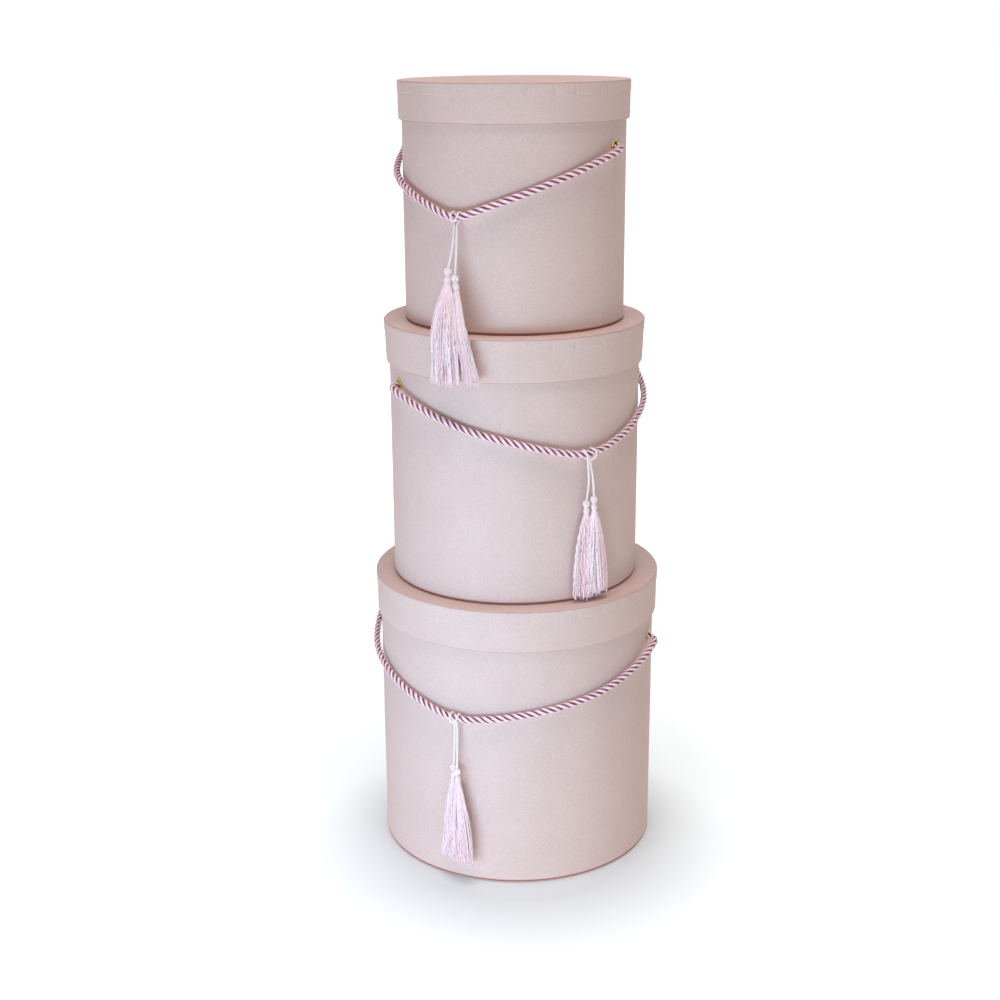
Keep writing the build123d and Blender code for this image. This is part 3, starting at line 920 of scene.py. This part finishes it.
def tassel_leg(name, box, tassel, materials):
    """One hanging leg of the tassel's cord, and the line that it follows."""
    top = box.trim.shift * MM + (-LEG_SPREAD if tassel.side == "left" else LEG_SPREAD)
    drop = tassel.ball_drop * MM
    run = (drop - LEG_DROP) / (len(LEG_BENDS) + 1)
    reach = tassel.ball_offset * MM - top
    points = [box.hanging(top, LEG_DROP)]
    for i, share in enumerate(LEG_BENDS, start=1):
        bent = top + share * reach + box.trim.bow * MM
        points.append(box.hanging(bent, LEG_DROP + i * run, tassel.front * MM * share))
    points.append(box.hanging(tassel.ball_offset * MM, drop - BALL_RADIUS / 2, tassel.front * MM))
    line = evenly(smooth_line(points), CORD_STEP)
    return tassel_cord(f"{name}_leg", line, materials), line


def ball_knot(name, box, tassel, materials):
    """A small round knot: the cord worked three times round with four bights."""
    centre = box.hanging(tassel.ball_offset * MM, tassel.ball_drop * MM, tassel.front * MM)
    t = np.linspace(0, 2 * pi, 200)
    around, tilt = BALL_LEADS * t, BALL_TILT * np.sin(BALL_BIGHTS * t)
    reach = BALL_RADIUS - BALL_SINK * CORD_RADIUS
    line = np.array(centre) + reach * np.stack(
        [np.cos(around) * np.cos(tilt), np.sin(around) * np.cos(tilt), np.sin(tilt)], axis=1)
    return tassel_cord(f"{name}_knot", evenly(line, CORD_STEP), materials)


def half_sizes(tassel, drop):
    """Half the tassel's width and depth at a drop: a slim neck, then a bell."""
    start, end = tassel.ball_drop * MM + NECK_DROP, tassel.hem_drop * MM
    fall = np.clip((drop - start) / (end - start), 0, 1)
    spread = 1 - (1 - fall) ** tassel.fullness
    return (NECK_RADIUS + (tassel.hem_width * MM - NECK_RADIUS) * spread,
            NECK_RADIUS + (HEM_DEPTH - NECK_RADIUS) * spread)


def middle_line(tassel, drops):
    """How far sideways the middle of the tassel is at each drop."""
    return np.interp(drops, (tassel.ball_drop * MM, tassel.hem_drop * MM),
                     (tassel.ball_offset * MM, tassel.hem_offset * MM))


def skirt(name, box, tassel, materials):
    """The tassel's hanging yarns: bound at the neck, clumped and uneven at the hem."""
    rng = np.random.default_rng(len(name) * 7 + len(box.name))
    start = tassel.ball_drop * MM + SKIRT_TOP
    clump_at, clump_tint = rng.uniform(0, 2 * pi, CLUMPS), rng.uniform(0, 1, CLUMPS)
    yarns = Tubes(YARN_SIDES)
    for k in range(YARNS):
        angle, share = GOLDEN_ANGLE * k, np.sqrt((k + 0.5) / YARNS)
        clump = np.abs((clump_at - angle + pi) % (2 * pi) - pi).argmin()
        pull = ((clump_at[clump] - angle + pi) % (2 * pi) - pi) * CLUMP_PULL
        end = (tassel.hem_drop + rng.normal(-HEM_RISE, HEM_UNEVEN)) * MM
        drops = start + (end - start) * np.linspace(0, 1, YARN_RINGS)
        fall = np.clip((drops - start) / (tassel.hem_drop * MM - start), 0, 1.1)
        a = angle + pull * ease(fall * 1.3) + rng.normal(0, TURN_DRIFT) * fall
        wide, deep = half_sizes(tassel, drops)
        reach = share * (1 - REACH_LOSS * rng.random()) + rng.normal(0, REACH_DRIFT) * fall
        wave = rng.uniform(*CRIMP_WAVES) * MM
        crimp = CRIMP * np.sin(2 * pi * (drops / wave + rng.random()))
        sway = rng.normal(0, SWAY)
        sway = sway * np.sin(2 * pi * (fall * rng.uniform(1, 2) + rng.random()))
        stray = (crimp + sway) * ease(fall * 4)
        x = (wide - YARN_RADIUS) * reach * np.cos(a) + stray
        y = (deep - YARN_RADIUS) * reach * np.sin(a) + stray * rng.uniform(-1, 1)
        x += rng.normal(0, HEM_STRAY) * ease((fall - 0.7) / 0.3)
        x += middle_line(tassel, drops)
        centres = np.array([box.hanging(across, drop, out + tassel.front * MM)
                            for across, drop, out in zip(x, drops, y)])
        thin = 1 - TIP_TAPER * ease((fall - 0.93) / 0.1)
        normals = np.broadcast_to(np.array(outward(box.hitch_turn())), centres.shape)
        tint = CLUMP_TINT * clump_tint[clump] + (1 - CLUMP_TINT) * rng.random()
        yarns.add(centres, normals, YARN_RADIUS * thin, drops, tint)
    return joined(f"{name}_yarns", [yarns.mesh("yarns", materials["tassel_thread"], sharp=80),
                                    binding(box, tassel, materials)])


def binding(box, tassel, materials):
    """The yarn wound round the tassel's neck."""
    t = np.linspace(0, 1, BINDING_TURNS * BINDING_STEPS)
    middle = tassel.ball_drop * MM + BINDING_DROP
    drops = middle + (t - 0.5) * BINDING_TURNS * 2 * YARN_RADIUS
    a = 2 * pi * BINDING_TURNS * t
    reach = NECK_RADIUS + 0.5 * YARN_RADIUS
    x = middle_line(tassel, drops) + reach * np.cos(a)
    y = reach * np.sin(a) + tassel.front * MM
    line = np.array([box.hanging(*spot) for spot in zip(x, drops, y)])
    wound = Tubes(BINDING_SIDES)
    # The binding's pink tint is painted shade at the neck.
    wound.add(line, level_frames(line)[0], YARN_RADIUS * 1.1, lengths_along(line), NECK_PAINTED_SHADE)
    return wound.mesh("binding", materials["tassel_thread"], sharp=80)


# --- Materials ---


class Nodes:
    """The nodes of a material or a world, made one call at a time."""

    def __init__(self, owner, end):
        owner.use_nodes = True
        self.owner, self.tree = owner, owner.node_tree
        self.end = self.tree.nodes[end]

    def add(self, kind, values=None, **settings):
        node = self.tree.nodes.new(kind)
        for key, value in settings.items():
            setattr(node, key, value)
        for socket, value in (values or {}).items():
            self.put(node.inputs[socket], value)
        return node

    def put(self, socket, value):
        if isinstance(value, bpy.types.NodeSocket):
            self.tree.links.new(value, socket)
        else:
            socket.default_value = value

    def math(self, operation, a, b=0):
        return self.add("ShaderNodeMath", {0: a, 1: b}, operation=operation).outputs[0]

    def plus(self, a, b):
        return self.math("ADD", a, b)

    def times(self, a, b):
        return self.math("MULTIPLY", a, b)

    def noise(self, scale, detail=2.0, stretch=None):
        place = self.add("ShaderNodeTexCoord").outputs["Object"]
        if stretch:
            place = self.add("ShaderNodeMapping", {"Vector": place, "Scale": stretch}).outputs[0]
        return self.add("ShaderNodeTexNoise", {"Vector": place, "Scale": scale,
                                               "Detail": detail}).outputs["Fac"]

    def number(self, name):
        return self.add("ShaderNodeAttribute", attribute_name=name).outputs["Fac"]

    def blend(self, share, a, b):
        node = self.add("ShaderNodeMix", {0: share}, data_type="RGBA")
        self.put(node.inputs[6], a)
        self.put(node.inputs[7], b)
        return node.outputs[2]

    def spread(self, value, low, high, to_low=0, to_high=1):
        return self.add("ShaderNodeMapRange", {0: value, 1: low, 2: high, 3: to_low,
                                               4: to_high}).outputs[0]

    def bump(self, height, distance, strength=1):
        node = self.add("ShaderNodeBump", {"Height": height, "Distance": distance,
                                           "Strength": strength})
        self.put(self.end.inputs["Normal"], node.outputs[0])

    def finish(self, **sockets):
        for name, value in sockets.items():
            self.put(self.end.inputs[name.replace("_", " ")], value)
        return self.owner


def surface(name):
    return Nodes(bpy.data.materials.new(name), "Principled BSDF")


def tone(red, green, blue):
    return (red, green, blue, 1.0)


def paper(name, colour, shade, edge):
    """Matt covering paper: mottling, fibres, a grain that bumps it, and a dark edge colour laid on where a wrap's
    numbers ask, as painted shade along its lower folds and a darker line at a lid's top edge.
    """
    n = surface(name)
    mottle = n.spread(n.noise(26, 3), 0.3, 0.7)
    speck = n.spread(n.noise(900), 0.3, 0.7)
    fibre = n.spread(n.noise(520, 3), 0.3, 0.7)
    share = n.plus(n.times(mottle, 0.2), n.times(speck, 0.5))
    share = n.plus(share, n.times(fibre, 0.3))
    grains = n.plus(n.noise(2200, 1), n.times(fibre, 0.8))
    n.bump(grains, 0.05 * MM, 0.5)
    # Painted shade: the dark edge colour laid over the paper along the wraps' lower folds, and as a darker line at a
    # lid's top edge.
    with_painted_shade = n.blend(n.number("handled"), n.blend(share, colour, shade), edge)
    return n.finish(Base_Color=with_painted_shade, Specular_IOR_Level=0.35,
                    Roughness=n.spread(speck, 0, 1, 0.55, 0.68), Sheen_Weight=0.1,
                    Sheen_Roughness=0.5)


def greyboard(name):
    """Pressed board: brown-grey with darker and lighter fibres."""
    n = surface(name)
    fibre = n.noise(700, 4, stretch=(1, 1, 0.3))
    n.bump(fibre, 0.08 * MM, 0.6)
    return n.finish(Base_Color=n.blend(n.spread(fibre, 0.35, 0.65), tone(0.20, 0.16, 0.12),
                                       tone(0.36, 0.30, 0.24)), Roughness=0.9)


def brass(name):
    n = surface(name)
    wear = n.spread(n.noise(400, 3), 0.35, 0.7)
    return n.finish(Base_Color=n.blend(wear, tone(0.62, 0.48, 0.15), tone(0.36, 0.27, 0.08)),
                    Metallic=1.0, Roughness=n.spread(wear, 0, 1, 0.10, 0.24))


def satin(name, rise, painted_crest_highlight, flank, painted_groove_shade, threads, pitch, ply, sheen):
    """Satin strands with fine threads: a painted highlight, pale where they stand out, and painted shade, deep in the
    grooves.

    `rise` is where along a strand's crown the painted highlight begins and is full, and `ply` is how
    strongly the threads mark it.
    """
    n = surface(name)
    thread = n.math("SINE", n.plus(n.times(n.number("around"), threads),
                                   n.times(n.number("along"), 2 * pi / pitch)))
    uneven = n.spread(n.noise(500), 0.3, 0.7, -0.06, 0.06)
    # Painted shade in the grooves and a painted highlight on the crests, set by how far round each strand faces out.
    share = n.plus(n.spread(n.number("crown"), *rise), n.plus(n.times(thread, ply), uneven))
    low = n.blend(n.spread(share, 0.1, 0.5), painted_groove_shade, flank)
    n.bump(thread, 0.05 * MM, 0.6)
    return n.finish(Base_Color=n.blend(n.spread(share, 0.5, 0.9), low, painted_crest_highlight), Roughness=0.36,
                    Specular_IOR_Level=0.8, Sheen_Weight=sheen, Sheen_Roughness=0.35)


def yarn(name):
    """Glossy viscose yarn, white with some pink, its twist a fine slanting bump."""
    n = surface(name)
    pink = n.spread(n.number("tint"), 0.1, 0.8)
    twist = n.math("SINE", n.plus(n.times(n.number("around"), 2.0),
                                  n.times(n.number("along"), 2 * pi / YARN_PITCH)))
    n.bump(twist, 0.05 * MM, 0.5)
    return n.finish(Base_Color=n.blend(pink, tone(1.0, 0.92, 0.94), tone(0.96, 0.62, 0.72)),
                    Roughness=0.3, Specular_IOR_Level=1.0, Sheen_Weight=0.9,
                    Sheen_Roughness=0.3)


def make_materials():
    return {
        # The third colour is the dark edge tone, used as painted shade along the wraps' lower folds.
        "blush_paper": paper("blush_paper", tone(0.79, 0.605, 0.58), tone(0.63, 0.475, 0.45),
                             tone(0.38, 0.075, 0.065)),
        "ivory_paper": paper("ivory_paper", tone(0.87, 0.84, 0.77), tone(0.76, 0.72, 0.64),
                             tone(0.55, 0.48, 0.38)),
        "greyboard": greyboard("greyboard"),
        "brass": brass("brass"),
        # The cords' pale crests are painted highlights and their dark grooves are painted shade.
        "handle_cord": satin("handle_cord", (0.2, 0.95), tone(0.94, 0.83, 0.91),
                             tone(0.66, 0.31, 0.42), tone(0.22, 0.02, 0.05),
                             threads=5, pitch=9 * MM, ply=0.26, sheen=0),
        "tassel_cord": satin("tassel_cord", (-0.2, 0.8), tone(1.0, 0.90, 0.92),
                             tone(0.97, 0.78, 0.83), tone(0.76, 0.38, 0.46),
                             threads=3, pitch=3 * MM, ply=0.04, sheen=0.2),
        "tassel_thread": yarn("tassel_thread"),
    }


# --- The set ---


def carried_on(piece, body, slot, *nodes):
    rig.ride(piece, body)
    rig.slot(piece, slot)
    if nodes:
        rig.replaces(piece, *nodes)


def dress(box, materials):
    """All of one box's pieces, each on its body."""
    name = box.name
    for make, body, slot, node in (
        (wall_wrap, "box", "blush_paper", "wall_paper"),
        (lid_top_wrap, "lid", "blush_paper", "lid_top_paper"),
        (lid_rim_wrap, "lid", "blush_paper", "lid_rim_paper"),
        (eyelet_pair, "box", "brass", "eyelets"),
    ):
        carried_on(make(box, materials), f"{name}_{body}", slot, f"{name}_{node}")
    knots, loops = stopper_knots(box, materials), hitch_loops(box, materials)
    carried_on(knots, f"{name}_handle", "handle_cord", f"{name}_cord_knots")
    carried_on(loops, f"{name}_hitch", "tassel_cord", f"{name}_tassel_hitch")
    rope, line = handle_rope(box, materials)
    carried_on(rope, f"{name}_handle", "handle_cord", f"{name}_handle_cord")
    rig.cord(rope, exit=line[0], length=lengths_along(line)[-1], diameter=2 * ROPE_RADIUS,
            far_end="object", stiffness="limp", lay="hanging", path=line,
            with_pieces=[knots, loops])
    for tassel in box.trim.tassels:
        dress_tassel(box, tassel, materials)


def dress_tassel(box, tassel, materials):
    name = f"{box.name}_tassel_{tassel.side}"
    leg, line = tassel_leg(name, box, tassel, materials)
    ball = ball_knot(name, box, tassel, materials)
    yarns = skirt(name, box, tassel, materials)
    carried_on(leg, name, "tassel_cord", f"{name}_cord")
    carried_on(ball, name, "tassel_cord")
    carried_on(yarns, name, "tassel_thread", f"{name}_skirt")
    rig.cord(leg, exit=line[0], length=lengths_along(line)[-1], diameter=2 * CORD_RADIUS,
            far_end="knot", stiffness="limp", lay="hanging", path=line, with_pieces=[ball])


KEPT_NODES = {
    "greyboard": ("wall_board", "base_board", "lid_top_board", "lid_rim_board"),
    "ivory_paper": ("wall_lining", "base_lining", "lid_lining", "base_paper"),
    "brass": ("eyelet_washers",),
}


def finish_kept_nodes(frame, box, materials):
    """The frame's own parts that show as they are, in better materials."""
    for slot, nodes in KEPT_NODES.items():
        for node in nodes:
            piece = frame["nodes"][f"{box}_{node}"]
            piece.data.materials.clear()
            piece.data.materials.append(materials[slot])
            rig.slot(piece, slot)


# --- Camera, light and floor ---

CAMERA_PLACE = (-0.01457, -1.339, 0.7135)
CAMERA_PITCH = 0.2929  # radians below level
CAMERA_ROLL = -0.0062  # radians
FOCAL_LENGTH = 56.95
SENSOR_WIDTH = 36
FLOOR_REACH = 12
FLOOR_GAP = 0.5 * MM  # below the boxes' base
FLOOR_SHADE_SHIFT = (0, 0.05, 0)  # the glow's middle, and so its painted darker ring round the base, is this much nearer than the boxes'
FLOOR_BOUNCE = 0.42  # the floor's glow as everything but the camera sees it


def make_camera():
    data = bpy.data.cameras.new("camera")
    data.lens, data.sensor_width = FOCAL_LENGTH, SENSOR_WIDTH
    camera = new_object("camera", data)
    tilt = Euler((pi / 2 - CAMERA_PITCH, 0, 0)).to_matrix().to_4x4()
    camera.matrix_world = (Matrix.Translation(CAMERA_PLACE) @ tilt
                           @ Matrix.Rotation(CAMERA_ROLL, 4, "Z"))
    bpy.context.scene.camera = camera


def softbox(name, place, aim, size, power, colour):
    """A rectangular light that the camera doesn't see."""
    data = bpy.data.lights.new(name, "AREA")
    data.shape, data.size, data.size_y = "RECTANGLE", size[0], size[1]
    data.energy, data.color = power, colour
    light = new_object(name, data)
    light.visible_camera = False
    light.location = place
    light.rotation_euler = (Vector(aim) - Vector(place)).to_track_quat("-Z", "Y").to_euler()


def make_floor():
    """A plain pale floor that glows: burnt out to white away from the boxes as the camera sees it, and dimmer near
    them, a painted darker ring round their base.
    """
    mesh = bpy.data.meshes.new("floor")
    reach = FLOOR_REACH
    mesh.from_pydata([(-reach, -reach, 0), (reach, -reach, 0), (reach, reach, 0),
                      (-reach, reach, 0)], [], [(0, 1, 2, 3)])
    n = surface("floor")
    place = n.add("ShaderNodeTexCoord").outputs["Object"]
    moved = n.add("ShaderNodeVectorMath", {0: place, 1: FLOOR_SHADE_SHIFT}, operation="ADD").outputs[0]
    away = n.add("ShaderNodeVectorMath", {0: moved}, operation="LENGTH").outputs["Value"]
    # Painted shade: the glow that the camera sees is weakest near the boxes, darkening the floor round their base.
    seen = n.plus(n.spread(away, 0.10, 0.20, 0.14, 0.54), n.spread(away, 0.20, 1.2, 0.0, 0.55))
    ray = n.add("ShaderNodeLightPath").outputs["Is Camera Ray"]
    glow = n.plus(n.times(seen, ray), n.times(n.math("SUBTRACT", 1.0, ray), FLOOR_BOUNCE))
    colour = n.blend(ray, tone(1.0, 0.79, 0.68), tone(0.93, 0.99, 1.0))
    mesh.materials.append(n.finish(Base_Color=tone(0.66, 0.70, 0.73), Roughness=0.9,
                                   Specular_IOR_Level=0.0, Emission_Color=colour,
                                   Emission_Strength=glow))
    floor = new_object("floor", mesh)
    floor.location.z = -FLOOR_GAP
    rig.stage(floor)


def make_world():
    """Soft even light, and a white background that shows in glossy things too."""
    world = bpy.data.worlds.new("studio")
    n = Nodes(world, "World Output")
    ray = n.add("ShaderNodeLightPath").outputs
    either = n.math("MAXIMUM", ray["Is Camera Ray"], ray["Is Glossy Ray"])
    light = n.add("ShaderNodeBackground", {"Color": tone(1.0, 0.80, 0.72), "Strength": 0.15})
    seen = n.add("ShaderNodeBackground", {"Color": tone(1, 1, 1)})
    mix = n.add("ShaderNodeMixShader", {0: either, 1: light.outputs[0], 2: seen.outputs[0]})
    n.finish(Surface=mix.outputs[0])
    bpy.context.scene.world = world


def make_studio():
    scene = bpy.context.scene
    scene.view_settings.view_transform = "Standard"
    make_camera()
    make_world()
    make_floor()
    softbox("key", place=(-0.50, -0.87, 0.10), aim=(0, 0, -0.3), size=(0.8, 0.5), power=9.3,
            colour=(0.51, 0.79, 1))
    softbox("fill", place=(1.15, -1.99, 0.35), aim=(0, 0, 0.3), size=(1.1, 1), power=7.2,
            colour=(0.64, 1, 0.98))
    softbox("top", place=(0, -0.8, 4.5), aim=(0, 0, 0.3), size=(2.2, 2.2), power=118,
            colour=(1, 0.89, 0.83))
    softbox("back", place=(0, 2, 0.12), aim=(0, 0, 0.3), size=(1.2, 1.2), power=17,
            colour=(0.62, 0.90, 1))


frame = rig.load()
cad_low, cad_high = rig.bounds()
make_studio()
materials = make_materials()
for trim in (LARGE, MEDIUM, SMALL):
    finish_kept_nodes(frame, trim.name, materials)
for trim in (LARGE, MEDIUM, SMALL):
    dress(Box(trim), materials)

low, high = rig.bounds()
with open("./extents.json", "w") as file:
    json.dump({"cad": [list(cad_low), list(cad_high)], "visual": [list(low), list(high)]}, file)
